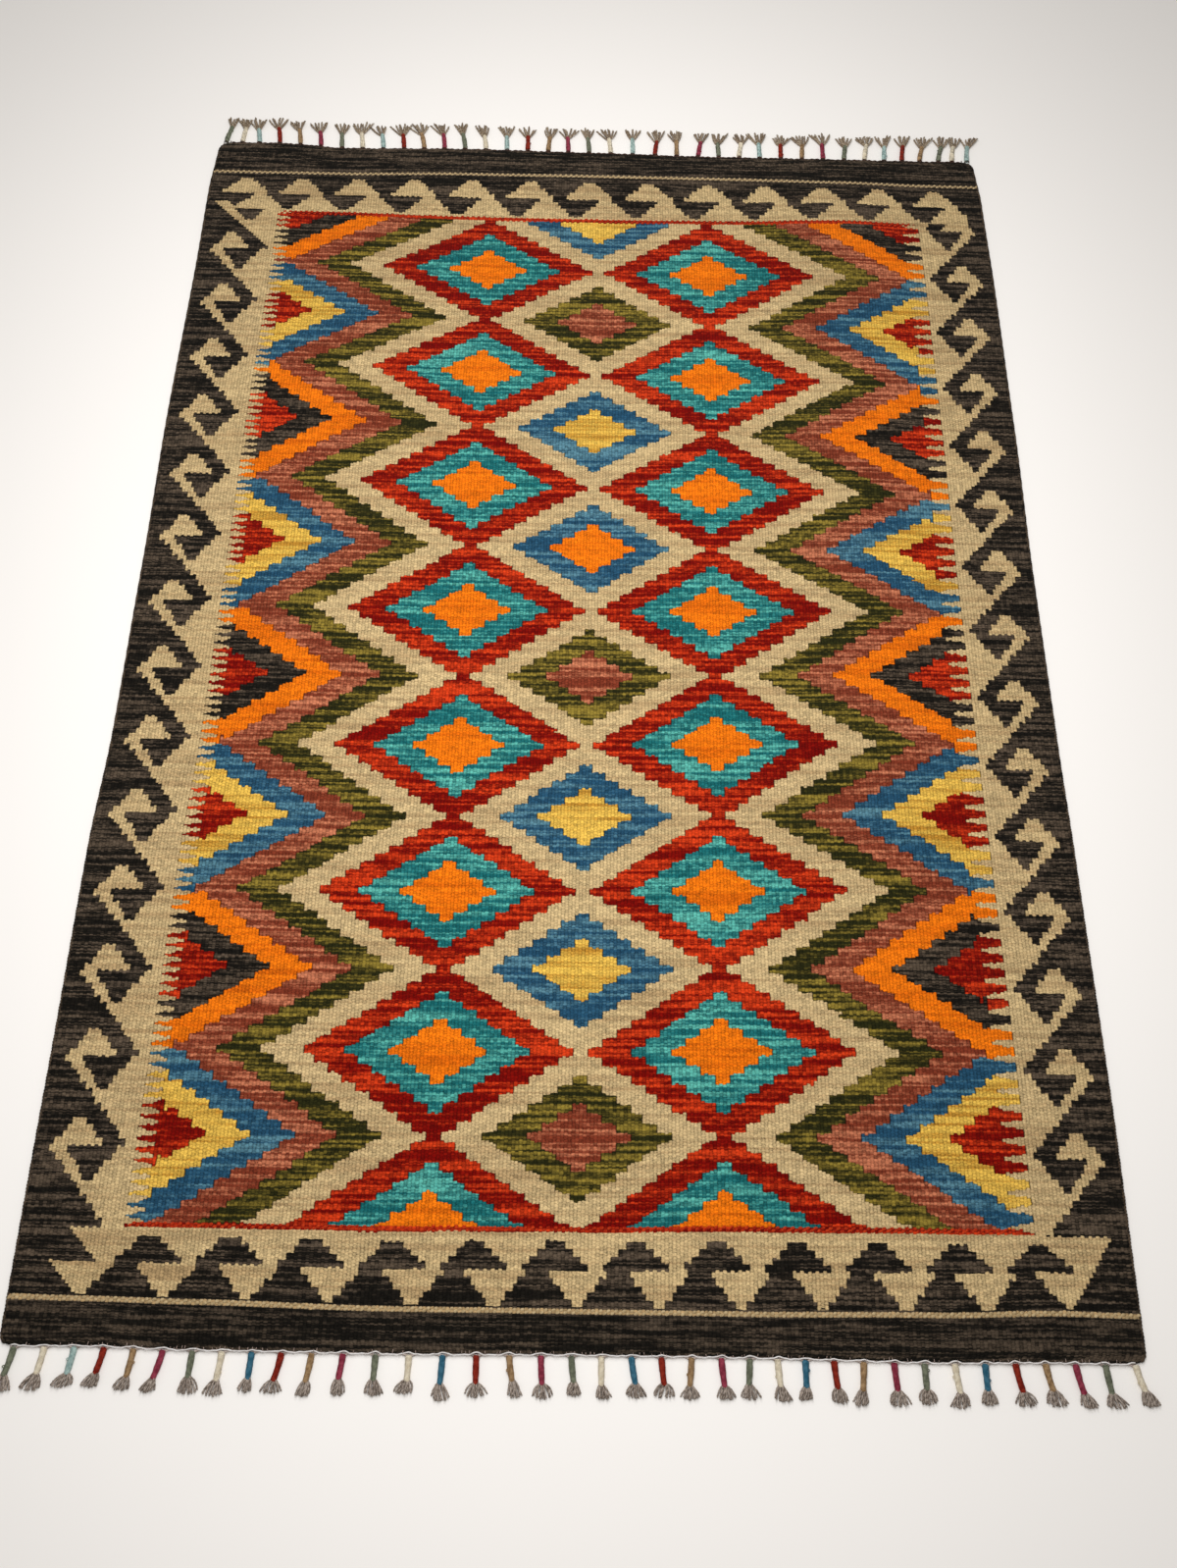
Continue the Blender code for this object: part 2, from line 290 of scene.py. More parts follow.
def lookup(table, columns, column, share):
    """One column of a table at any share, eased between the rows on either side."""
    place = columns.index(column)
    share = min(max(share, table[0][0]), table[-1][0])
    for before, after in zip(table, table[1:]):
        if share <= after[0]:
            part = (share - before[0]) / (after[0] - before[0])
            eased = part * part * (3 - 2 * part)
            return before[place] + (after[place] - before[place]) * eased
    return table[-1][place]


def row_strays(shares, levels):
    """How far each weft row strays from straight, as a grid of levels by shares of the width."""
    keys = [0.0, *LINE_LEVELS.values(), CLOTH_LENGTH]
    names = ROW_COLUMNS[1:]
    strays = np.array([[lookup(ROW_TABLE, ROW_COLUMNS, name, share) for share in shares] for name in names])
    grid = np.empty((len(levels), len(shares)))
    for index, level in enumerate(levels):
        low = min(max(sum(level > key for key in keys) - 1, 0), len(keys) - 2)
        part = (level - keys[low]) / (keys[low + 1] - keys[low])
        grid[index] = strays[low] + (strays[low + 1] - strays[low]) * part
    return grid * MM


def corner_inset(level):
    """How far a rounded corner draws the side in at this distance from the front edge."""
    for distance, radius in ((level, FRONT_CORNER_RADIUS), (CLOTH_LENGTH - level, BACK_CORNER_RADIUS)):
        if distance < radius:
            return radius - math.sqrt(radius**2 - (radius - distance) ** 2)
    return 0.0


def cloth_points(shares, levels):
    """The x and y of every crossing of these warps and weft rows, as grids of levels by shares."""
    shares = np.asarray(shares)
    x = np.empty((len(levels), len(shares)))
    for index, level in enumerate(levels):
        along = level / CLOTH_LENGTH
        reach = CLOTH_WIDTH / 2 - corner_inset(level)
        left = -reach - lookup(SIDE_TABLE, SIDE_COLUMNS, "left", along) * MM
        right = reach + lookup(SIDE_TABLE, SIDE_COLUMNS, "right", along) * MM
        x[index] = left + shares * (right - left)
    y = np.asarray(levels)[:, None] - CLOTH_LENGTH / 2 + row_strays(shares, levels)
    return x, y


def edge_line(fringe):
    """The x and y of points along the cloth's edge that this fringe hangs from."""
    x, y = cloth_points(np.linspace(0, 1, RIBS + 1), [fringe["level"]])
    return x[0], y[0]


def tassel_layout(fringe):
    """Each tassel's root, neck and tip in x, and the lengths of its stalk and brush."""
    rng = random.Random(fringe["seed"])
    tassels = []
    for index in range(TASSELS_PER_END):
        share = index / (TASSELS_PER_END - 1)
        drift, stalk_lean, brush_lean = (
            lookup(fringe["table"], FRINGE_COLUMNS, column, share) * MM
            for column in ("drift", "stalk_lean", "brush_lean")
        )
        root = fringe["first_root"] + share * (fringe["last_root"] - fringe["first_root"]) + drift
        neck = root + stalk_lean + rng.uniform(-1, 1) * LEAN_JITTER
        tip = neck + brush_lean + rng.uniform(-1, 1) * LEAN_JITTER
        stalk = fringe["stalk_length"] + rng.uniform(-1, 1) * LENGTH_JITTER
        brush = fringe["brush_length"] + rng.uniform(-1, 1) * LENGTH_JITTER
        width = fringe["brush_width"] + rng.uniform(-1, 1) * WIDTH_JITTER
        places = {"root": root, "neck": neck, "tip": tip}
        tassels.append({**places, "stalk": stalk, "brush": brush, "width": width})
    for left, right in zip(tassels, tassels[1:]):
        room = right["tip"] - left["tip"] - 2 * LOCK_GAP
        for tassel in (left, right):
            tassel["width"] = min(tassel["width"], room)
    return tassels


# ---------------------------------------------------------------- numbers worked out by nodes


class Number:
    """A number that a material's nodes work out. Plain arithmetic on it adds the nodes."""

    def __init__(self, socket):
        self.socket = socket

    def __add__(self, other):
        return work("ADD", self, other)

    def __radd__(self, other):
        return work("ADD", other, self)

    def __sub__(self, other):
        return work("SUBTRACT", self, other)

    def __rsub__(self, other):
        return work("SUBTRACT", other, self)

    def __mul__(self, other):
        return work("MULTIPLY", self, other)

    def __rmul__(self, other):
        return work("MULTIPLY", other, self)

    def __truediv__(self, other):
        return work("DIVIDE", self, other)


def put(value, slot):
    """Feeds a number, plain or worked out, into a node's input."""
    if isinstance(value, Number):
        slot.id_data.links.new(value.socket, slot)
    else:
        slot.default_value = value


def work(operation, *values):
    """Adds one math node to the tree that its first worked-out value belongs to."""
    first = next(value for value in values if isinstance(value, Number))
    node = first.socket.id_data.nodes.new("ShaderNodeMath")
    node.operation = operation
    for value, slot in zip(values, node.inputs):
        put(value, slot)
    return Number(node.outputs[0])


def floor(value):
    return work("FLOOR", value)


def size(value):
    return work("ABSOLUTE", value)


def sine(value):
    return work("SINE", value)


def least(value, other):
    return work("MINIMUM", value, other)


def most(value, other):
    return work("MAXIMUM", value, other)


def less(value, other):
    return work("LESS_THAN", value, other)


def more(value, other):
    return work("GREATER_THAN", value, other)


def equal(value, other):
    return work("COMPARE", value, other, 0.5)


def modulo(value, other):
    return work("FLOORED_MODULO", value, other)


def pingpong(value, scale):
    return work("PINGPONG", value, scale)


def choose(mask, value, other):
    """The first value where the mask is 1, and the other where it is 0."""
    return work("MULTIPLY_ADD", mask, value - other, other)


def smooth(value, low, high):
    """0 below low, 1 above high, and eased between."""
    node = value.socket.id_data.nodes.new("ShaderNodeMapRange")
    node.interpolation_type = "SMOOTHSTEP"
    put(value, node.inputs["Value"])
    node.inputs["From Min"].default_value = low
    node.inputs["From Max"].default_value = high
    return Number(node.outputs["Result"])


def noise(x, y, z, detail=0.0, roughness=0.5):
    """Soft noise from 0 to 1 with features of about one unit."""
    tree = x.socket.id_data
    place = tree.nodes.new("ShaderNodeCombineXYZ")
    for value, slot in zip((x, y, z), place.inputs):
        put(value, slot)
    node = tree.nodes.new("ShaderNodeTexNoise")
    node.inputs["Scale"].default_value = 1
    node.inputs["Detail"].default_value = detail
    node.inputs["Roughness"].default_value = roughness
    tree.links.new(place.outputs[0], node.inputs["Vector"])
    return Number(node.outputs[0])


def speckle(x, y):
    """A number from 0 to 1 that is different in every cell."""
    tree = x.socket.id_data
    place = tree.nodes.new("ShaderNodeCombineXYZ")
    put(x, place.inputs[0])
    put(y, place.inputs[1])
    node = tree.nodes.new("ShaderNodeTexWhiteNoise")
    node.noise_dimensions = "2D"
    tree.links.new(place.outputs[0], node.inputs["Vector"])
    return Number(node.outputs["Value"])


# ---------------------------------------------------------------- the woven pattern

# In mm from the left and near edges.
WIDTH = CLOTH_WIDTH / MM
RIB = WIDTH / RIBS
STEP = 4 * RIB
MIDDLE = 146 * RIB
BEAD = 2 * PICK / MM
CREAM_LINES = (46, 1747)
NEAR_BORDER, FAR_BORDER = 125, 1662
FIELD_START, FIELD_END = 126, 1658
FIELD_HALF = 28.5 * STEP

# A diamond of the field: its steps up and down, and its height in mm. Its middle is the tenth column.
DIAMOND_STEPS = 18
DIAMOND_HEIGHT = 201.95
DIAMOND_COLUMN = 10

# The pitches in mm of the end borders' triangles and of the side combs' fingers, left and right.
NEAR_PITCH = 88.5
FAR_PITCH = 90.4
COMB_PITCHES = (12, 19)


def between(value, low, high):
    """The value, kept within these limits."""
    return least(most(value, low), high)


def off_cream_line(level):
    """How far a place is from the nearer one of the two raised cream lines."""
    return least(size(level - CREAM_LINES[0]), size(level - CREAM_LINES[1]))


def from_triangle(across, pitch, last):
    """How far a place is from the middle of the nearest triangle in a row of them."""
    return size(across - pitch * between(floor(across / pitch + 0.5), 0, last))


def field_colour(x, level):
    """The field: two columns of stepped diamonds, small ones between them, and zigzags at the sides.

    The first lines bend the chart as the photo's weft rows bend.
    """
    side = (x - MIDDLE) / 500
    part = (level - 129) * (math.pi / 1528)
    wave = sine(part * 2)
    level = level + 3 - 2.8 * sine(part) + 1.8 * wave
    level = level + side * (2.6 * sine(part) - 9 * wave + 5.3 * sine(part * 3))
    x = x + 5.4 - part * 2.1 + side * (12.2 - part * 3.95)
    place = size(x - MIDDLE) / STEP
    column = floor(place + 0.5)
    start = level - 133
    height = DIAMOND_STEPS * (start + 9 * sine(start * (math.pi / 1410))) / DIAMOND_HEIGHT
    tread = (place - column) * choose(less(column, DIAMOND_COLUMN - 0.5), -1, 1)
    tread = choose(equal(column, DIAMOND_COLUMN), size(place - column) - 0.25, tread)
    rising = less(modulo(height, DIAMOND_STEPS), DIAMOND_STEPS / 2)
    row = floor(height + tread * choose(rising, 0.38, -0.2) + 0.5)
    climb = pingpong(row, DIAMOND_STEPS / 2)
    knot = floor(row / DIAMOND_STEPS)
    odd = modulo(knot, 2)
    distance = size(column - DIAMOND_COLUMN) + climb
    band = between(floor((distance - 0.5) / 3), 0, DARK)
    other = choose(equal(band, BLUE), ORANGE, choose(equal(band, YELLOW), DARK, band))
    zigzag = choose(equal(band, DARK), RED, choose(odd, other, band))
    small = column + 9 - climb
    third = equal(modulo(knot, 3), 0)
    heart = choose(third, MAUVE, choose(equal(knot, 4), ORANGE, YELLOW))
    inner = choose(less(small, 6.5), choose(third, GREEN, BLUE), CREAM)
    inner = choose(less(small, 3.5), heart, inner)
    inside = less(column, DIAMOND_COLUMN - 0.5) * more(distance, 9.5)
    return choose(inside, inner, zigzag)


def comb(x, level):
    """Where the field is, with its combs at the sides, and the place that gives each finger its colour."""
    off = x - MIDDLE
    left = less(off, 0)
    pitch = choose(left, *COMB_PITCHES)
    turn = level / pitch
    taper = (0.38 - size(modulo(turn, 1) - 0.5)) * choose(left, 17, 34)
    reach = RIB * between(taper, -0.5, 5)
    inside = less(size(off), FIELD_HALF + reach) * more(level, FIELD_START) * less(level, FIELD_END)
    root = MIDDLE + between(off, -28.4 * STEP, 28.4 * STEP)
    finger = choose(more(size(off), 28 * STEP), (floor(turn) + 0.5) * pitch, level)
    return inside, root, finger


def side_dark(x, level):
    """The side borders' running hooks, dark at the rug's edges and cream towards the field."""
    left = less(x, WIDTH / 2)
    from_side = choose(left, x, (WIDTH - x) * 1.03)
    left_turn = 15.03 - level / 104.87
    left_turn = left_turn - 0.114 * sine(left_turn * (math.pi / 13))
    right_turn = 16.04 - level / 102.53
    right_turn = right_turn - 0.234 * sine((right_turn - 0.22) * (math.pi / 14))
    turn = choose(left, left_turn, right_turn)
    row = floor(modulo(turn, 1) * 13) + 0.5
    below = FAR_BORDER - level
    first = less(turn, 0)
    slope = choose(first, choose(left, 25 + 0.97 * below, 27), most(17.5, 14.7 + 6.9 * row))
    above = 13 - row
    head = less(above, 4) * more(from_side, 20 + 5.1 * above) * less(from_side, 76.7 - 6 * above)
    head = head * less(turn, choose(left, 13, 14))
    hollow = less(row, 4.6) * more(from_side, 35.3 + 5.5 * row) * less(from_side, 94 - 5.5 * row)
    corner = more(from_side, choose(left, 45, 61) + 0.8 * below) * less(below, 23.5)
    corner = corner * less(from_side, choose(left, 90.7 - 0.6 * below, 88 + 0.5 * below))
    hollow = choose(first, corner, hollow)
    return most(less(from_side, slope) * (1 - head), hollow)


def near_dark(x, level):
    """The near border's dark hooked triangles on cream, and its two corners."""
    row = floor((level - 50.5) / 7.27)
    across = x - MIDDLE + 490
    lower = from_triangle(across, NEAR_PITCH, 11)
    upper = from_triangle(across * 1.007 - 23, NEAR_PITCH, 11)
    hooks = less(row, 4.5) * less(lower, 37.3 - 6.3 * row)
    hooks = most(hooks, more(row, 4.5) * less(row, 8.5) * less(upper, 76.8 - 8.1 * row))
    left = more(level, 87) * less(x, 53 + 0.98 * (124.7 - level))
    left = most(left, less(level, 87) * less(x, 38 + 0.9 * (87 - level)))
    left = left * less(level, 124.7)
    right = less(WIDTH - x, 20 + most(0.71 * (123.3 - level), 0.5 * (level - 123.3)))
    right = right * less(level, 134)
    return most(hooks, most(left, right))


def far_cream(x, level):
    """The far border's cream hooked triangles on dark, and its two corners."""
    row = floor((1733 - level) / 7)
    across = x - MIDDLE + 556 - 5.3 * sine((x - 637) * (math.pi / 500))
    upper = from_triangle(across, FAR_PITCH, 12)
    lower = from_triangle(across - 25.6, FAR_PITCH, 12)
    hooks = more(row, -0.5) * less(row, 4.5) * less(upper, 10 + 6.5 * row)
    hooks = most(hooks, more(row, 4.5) * less(lower, 6.5 * row - 22))
    left = more(x, 10 + 0.97 * (1678 - level)) * less(x, 55) * less(level, 1678)
    left = left * more(size(x - 43.5), 10 - 0.85 * (1678 - level))
    return most(hooks, left) * less(x, WIDTH - 27)


def pattern(x, level):
    """The number of the wool at a place in the cloth."""
    colour = choose(side_dark(x, level), DARK, CREAM)
    colour = choose(less(level, NEAR_BORDER), choose(near_dark(x, level), DARK, CREAM), colour)
    colour = choose(more(level, FAR_BORDER), choose(far_cream(x, level), CREAM, DARK), colour)
    colour = choose(most(less(level, 50.5), more(level, 1734)), DARK, colour)
    colour = choose(less(off_cream_line(level), 1.8), CREAM, colour)
    ends = most(less(level, 131), more(level, 1651.5))
    inside, root, finger = comb(x, level)
    return choose(inside, choose(ends, RED, field_colour(root, finger)), colour)


# ---------------------------------------------------------------- materials


def new_material(name):
    """A woollen material, and its node tree and shader."""
    material = bpy.data.materials.new(name)
    material.use_nodes = True
    shader = material.node_tree.nodes["Principled BSDF"]
    shader.inputs["Roughness"].default_value = 0.9
    shader.inputs["Specular IOR Level"].default_value = 0.04
    shader.inputs["Sheen Weight"].default_value = 0.02
    shader.inputs["Sheen Roughness"].default_value = 0.6
    return material, material.node_tree, shader


def wool_ramp(tree, number, end):
    """The usual shade (0) or the streaks (1) of the wool that has this number."""
    node = tree.nodes.new("ShaderNodeValToRGB")
    node.color_ramp.interpolation = "CONSTANT"
    stops = node.color_ramp.elements
    while len(stops) < len(WOOLS):
        stops.new(len(stops) / len(WOOLS))
    for index, wool in enumerate(WOOLS):
        stops[index].position = index / len(WOOLS)
        stops[index].color = linear(wool[end], BRIGHTNESS)
    put(number, node.inputs[0])
    return node.outputs["Color"]


def mix_colour(tree, factor, first, second, blend="MIX"):
    """Two colours mixed by a factor. Each colour is plain or comes from a node."""
    node = tree.nodes.new("ShaderNodeMix")
    node.data_type = "RGBA"
    node.blend_type = blend
    put(factor, node.inputs[0])
    for colour, slot in ((first, node.inputs[6]), (second, node.inputs[7])):
        if isinstance(colour, tuple):
            slot.default_value = colour
        else:
            tree.links.new(colour, slot)
    return node.outputs[2]


def lit(tree, colour, amount):
    """A colour made brighter or darker by a worked-out amount."""
    grey = tree.nodes.new("ShaderNodeCombineXYZ")
    for slot in grey.inputs:
        put(amount, slot)
    return mix_colour(tree, 1.0, colour, grey.outputs[0], "MULTIPLY")


def add_bump(tree, shader, height, distance):
    """Raises the surface by a worked-out height from 0 to 1, in the shading alone."""
    node = tree.nodes.new("ShaderNodeBump")
    node.inputs["Distance"].default_value = distance
    put(height, node.inputs["Height"])
    tree.links.new(node.outputs[0], shader.inputs["Normal"])


def beads(across, along, first):
    """The nearest bead on every second warp, starting with this one: its centre and how far off it is."""
    warp = floor((across + 0.5 - first) / 2) * 2 + first + 0.5
    bead = floor(along + first / 2) + 0.5 - first / 2
    sideways = (across - warp) * (1 / BEAD_REACH[0])
    upwards = (along - bead) * (1 / BEAD_REACH[1])
    return warp, bead, sideways * sideways + upwards * upwards


def woven_material():
    """Weft-faced wool: the pattern in beads over the warps, streaked as hand-dyed yarn is, with painted
    highlight and shade on the beads, painted shadow in the slits and painted shade beside the raised cream
    lines.
    """
    material, tree, shader = new_material("woven_wool")
    source = tree.nodes.new("ShaderNodeUVMap")
    source.uv_map = "Weave"
    parts = tree.nodes.new("ShaderNodeSeparateXYZ")
    tree.links.new(source.outputs[0], parts.inputs[0])
    x, level = Number(parts.outputs[0]), Number(parts.outputs[1])

    across = x / RIB + (noise(x / 9, level / 6, 3.0) - 0.5) * 0.3
    along = level / BEAD + (noise(x / 7, level / 9, 8.0) - 0.5) * 0.6
    even_warp, even_bead, even_far = beads(across, along, 0)
    odd_warp, odd_bead, odd_far = beads(across, along, 1)
    even = less(even_far, odd_far)
    warp = choose(even, even_warp, odd_warp)
    bead = choose(even, even_bead, odd_bead)
    mound = most(1 - least(even_far, odd_far), 0)
    line = off_cream_line(level)
    wander = (noise(warp / 11, bead / 8, 0.5) - 0.5) * 3.5 * more(line, 5)
    row = (bead + floor(along * 2) * 0.5 + 0.25) * (BEAD / 2)
    number = between(pattern(warp * RIB, row + wander), 0, DARK)
    off_centre = across - warp
    next_warp = warp + choose(more(off_centre, 0), 1, -1)
    beside = between(pattern(next_warp * RIB, row + wander), 0, DARK)
    # Painted shadow: the cloth darkens towards a warp's side where the warp beside it carries another
    # colour, as shade in a slit.
    slit_shadow = smooth(size(off_centre), 0.15, 0.5) * (1 - equal(beside, number))

    course = level + choose(even, 0.3, -0.3)
    dark = equal(number, DARK)
    streak = noise(x / 170, course / 5.5, choose(dark, 12.6, number * 3.7 + 0.4), 1.0, 0.65)
    dash = noise(x / 42, course / 1.8, number * 1.9 + 20)
    patch = noise(x / 240, level / 28, number * 2.3 + 40)
    chance = speckle(warp, bead * 2)
    dash = (dash - 0.5) * choose(dark, 0.75, 0.36)
    patch = (patch - 0.5) * 0.3
    shade = streak + patch + dash + (chance - 0.5) * 0.12
    shade = smooth(shade, 0.34, 0.74)
    shade = work("POWER", shade, 1.4)
    shade = shade * choose(less(level, 43), 0.72, 1)
    # Painted shade: within 3.2 mm of a raised cream line the cloth takes its darker streak colour, as shade
    # under and between the line's strands.
    shade = most(shade, less(line, 3.2))
    place = (number + 0.5) / len(WOOLS)
    colour = mix_colour(tree, shade, wool_ramp(tree, place, 0), wool_ramp(tree, place, 1))

    ply = sine((along - bead) * 12.57 + off_centre * 3 + chance * 4)
    fibre = noise(x / 1.4, level / 1.1, 5.5, 1.0)
    # Painted highlight and shade: each bead is lighter at its crown and darker in the gaps between beads,
    # and the plies' ridges are lighter. The chance and fibre terms add random tone.
    grain = 0.58 + 0.5 * mound + 0.1 * ply
    grain = grain + (chance - 0.5) * choose(dark, 0.55, 0.42) + (fibre - 0.5) * 1.15
    # Painted slit shadow darkens the colour by up to 70 percent here.
    tree.links.new(lit(tree, colour, grain * (1 - 0.7 * slit_shadow)), shader.inputs["Base Color"])
    add_bump(tree, shader, mound * 0.7 + ply * 0.12 + (fibre - 0.5) * 0.3, 0.6 * MM)
    return material


def yarn_material(name, dark, light, grain=1.0, wound=False):
    """Spun wool of one colour, mottled, with fine fibres. Wound yarn also shows its turns, with painted
    shade in their grooves and painted highlight on their ridges.
    """
    material, tree, shader = new_material(name)
    source = tree.nodes.new("ShaderNodeTexCoord")
    parts = tree.nodes.new("ShaderNodeSeparateXYZ")
    tree.links.new(source.outputs["Object"], parts.inputs[0])
    x, y, z = (Number(out) for out in parts.outputs)
    mottle = noise(x * 260 / grain, y * 260 / grain, z * 260 / grain, 2.0)
    colour = mix_colour(
        tree, smooth(mottle, 0.3, 0.7), linear(dark, BRIGHTNESS), linear(light, BRIGHTNESS)
    )
    height = noise(x * 1900, y * 1900, z * 1900, 1.0)
    if wound:
        turns = sine(y * (2 * math.pi / WRAP_TURN) + x * 1300 + (mottle - 0.5) * 2)
        # Painted highlight and shade: the turns' ridges are lighter and their grooves darker.
        colour = lit(tree, colour, 1 + 0.12 * turns)
        height = height + turns * 0.6
    tree.links.new(colour, shader.inputs["Base Color"])
    add_bump(tree, shader, height, 0.25 * MM)
    return material


# ---------------------------------------------------------------- meshes


def add_object(name, mesh):
    """Puts a finished mesh in the scene as a piece that rides on the rug."""
    obj = bpy.data.objects.new(name, mesh)
    bpy.context.scene.collection.objects.link(obj)
    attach(obj, "root")
    return obj


def cloth_levels():
    """Levels of the cloth's grid: even, and closer together in its rounded corners."""
    levels = set(np.linspace(0, CLOTH_LENGTH, CLOTH_ROWS + 1))
    for angle in (20, 40, 60, 80):
        turn = 1 - math.cos(math.radians(angle))
        levels.add(FRONT_CORNER_RADIUS * turn)
        levels.add(CLOTH_LENGTH - BACK_CORNER_RADIUS * turn)
    return sorted(levels)


def grid_faces(rows, columns, start, flip):
    """The quads of a grid of points that are numbered row by row from start."""
    corner = (np.arange(rows - 1)[:, None] * columns + np.arange(columns - 1)[None, :]).ravel() + start
    quads = np.stack((corner, corner + 1, corner + columns + 1, corner + columns), axis=1)
    return quads[:, ::-1] if flip else quads


def build_cloth():
    """The woven sheet, ribbed over every warp on both faces."""
    shares = np.linspace(0, 1, 2 * RIBS + 1)
    levels = cloth_levels()
    x, y = cloth_points(shares, levels)
    grid_levels = np.array(levels)[:, None]
    (across, along), (across_2, along_2) = UNEVEN_WAVES
    swell = np.sin(across * shares + along * grid_levels)
    swell = swell * np.sin(across_2 * shares + along_2 * grid_levels)
    valley = np.arange(len(shares)) % 2 == 0
    top = CLOTH_THICKNESS + UNEVENNESS * swell - valley * RIB_DEPTH
    base = np.broadcast_to(valley * UNDERSIDE_DEPTH, top.shape).copy()
    for edge in (0, -1):
        top[:, edge] = EDGE_TOP
        base[:, edge] = EDGE_BASE
        top[edge, :] -= END_DROP
    rows, columns = top.shape
    count = rows * columns
    points = np.concatenate([np.stack((x, y, z), axis=-1).reshape(-1, 3) for z in (base, top)])
    index = np.arange(count).reshape(rows, columns)
    walls = []
    for line, flip in ((index[0], False), (index[-1], True), (index[:, 0], True), (index[:, -1], False)):
        quads = np.stack((line[:-1], line[1:], line[1:] + count, line[:-1] + count), axis=1)
        walls.append(quads[:, ::-1] if flip else quads)
    underside, face = grid_faces(rows, columns, 0, True), grid_faces(rows, columns, count, False)
    faces = np.concatenate([underside, *walls, face])
    mesh = bpy.data.meshes.new("woven_cloth")
    mesh.from_pydata(points.tolist(), [], faces.tolist())
    share_grid = np.broadcast_to(shares, top.shape).ravel()
    level_grid = np.broadcast_to(grid_levels, top.shape).ravel()
    corners = np.empty(len(mesh.loops), dtype=np.int32)
    mesh.loops.foreach_get("vertex_index", corners)
    corners %= count
    for name, wide, long in (("OFBake", 1, 1 / CLOTH_LENGTH), ("Weave", WIDTH, 1 / MM)):
        layer = mesh.uv_layers.new(name=name)
        spots = np.stack((share_grid[corners] * wide, level_grid[corners] * long), axis=1)
        layer.data.foreach_set("uv", spots.astype(np.float32).ravel())
    mesh.shade_smooth()
    mesh.materials.append(woven_material())
    cloth = add_object("woven_cloth", mesh)
    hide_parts("rug_cloth")
    return cloth


class Strands:
    """Collects yarns into one mesh."""

    def __init__(self, name, slot, materials):
        self.name = name
        self.slot = slot
        self.materials = materials
        self.points = []
        self.faces = []
        self.kinds = []
        self.spots = []
        self.count = 0

    def add(self, path, radius, sides=6, kind=0, flat=1.0, skew=0.0):
        """A tube along a path, its radius one value or one for each point.

        flat is its height against its width. With skew, each ring leans along the path by that much in
        one turn, so that ridges wind round the tube.
        """
        path = np.asarray(path, dtype=float)
        count = len(path)
        radius = np.broadcast_to(np.asarray(radius, dtype=float), (count,))
        ahead = np.gradient(path, axis=0)
        ahead /= np.linalg.norm(ahead, axis=1)[:, None]
        beside = np.cross(ahead, (0, 0, 1))
        beside /= np.linalg.norm(beside, axis=1)[:, None] + 1e-12
        above = np.cross(beside, ahead)
        turn = 2 * np.pi * np.arange(sides) / sides
        rings = (
            path[:, None, :]
            + radius[:, None, None] * np.cos(turn)[None, :, None] * beside[:, None, :]
            + (radius * flat)[:, None, None] * np.sin(turn)[None, :, None] * above[:, None, :]
            + (skew * np.arange(sides) / sides)[None, :, None] * ahead[:, None, :]
        )
        start = sum(len(points) for points in self.points)
        self.points.append(rings.reshape(-1, 3))
        ring = np.arange(count - 1)[:, None]
        side = np.arange(sides)[None, :]
        following = (side + 1) % sides
        corners = (
            ring * sides + side,
            ring * sides + following,
            (ring + 1) * sides + following,
            (ring + 1) * sides + side,
        )
        quads = np.stack([corner.ravel() for corner in corners], axis=1) + start
        self.faces += quads[:, ::-1].tolist()
        left, right = np.broadcast_to(side / sides, corners[0].shape), (side + 1) / sides
        right = np.broadcast_to(right, corners[0].shape)
        low = np.broadcast_to(ring / count, corners[0].shape)
        high = np.broadcast_to((ring + 1) / count, corners[0].shape)
        quad = ((left, low), (right, low), (right, high), (left, high))
        loops = [np.stack((u.ravel(), v.ravel()), axis=1) for u, v in quad]
        self.spots.append((self.count, np.stack(loops, axis=1)[:, ::-1].reshape(-1, 2)))
        for ring_start, end, share in ((start, 0, 0.0), (start + (count - 1) * sides, 1, 1.0)):
            cap = list(range(ring_start, ring_start + sides))
            self.faces.append(cap if end == 0 else cap[::-1])
            upwards = 0.985 - 0.012 * share + 0.01 * np.sin(turn)
            around = np.stack((0.5 + 0.4 * np.cos(turn), upwards), axis=1)
            self.spots.append((self.count, around if end == 0 else around[::-1]))
        self.kinds += [kind] * (len(quads) + 2)
        self.count += 1

    def build(self):
        """One mesh of all the yarns, each with its own cell of the bake map."""
        mesh = bpy.data.meshes.new(self.name)
        mesh.from_pydata(np.concatenate(self.points).tolist(), [], self.faces)
        mesh.polygons.foreach_set("material_index", self.kinds)
        across = math.ceil(math.sqrt(self.count))
        down = math.ceil(self.count / across)
        layer = mesh.uv_layers.new(name="OFBake")
        spots = [
            (np.array((index % across, index // across)) + 0.05 + spot * 0.9) / (across, down)
            for index, spot in self.spots
        ]
        layer.data.foreach_set("uv", np.concatenate(spots).astype(np.float32).ravel())
        mesh.shade_smooth()
        for material in self.materials:
            mesh.materials.append(material)
        return add_object(self.name, mesh)


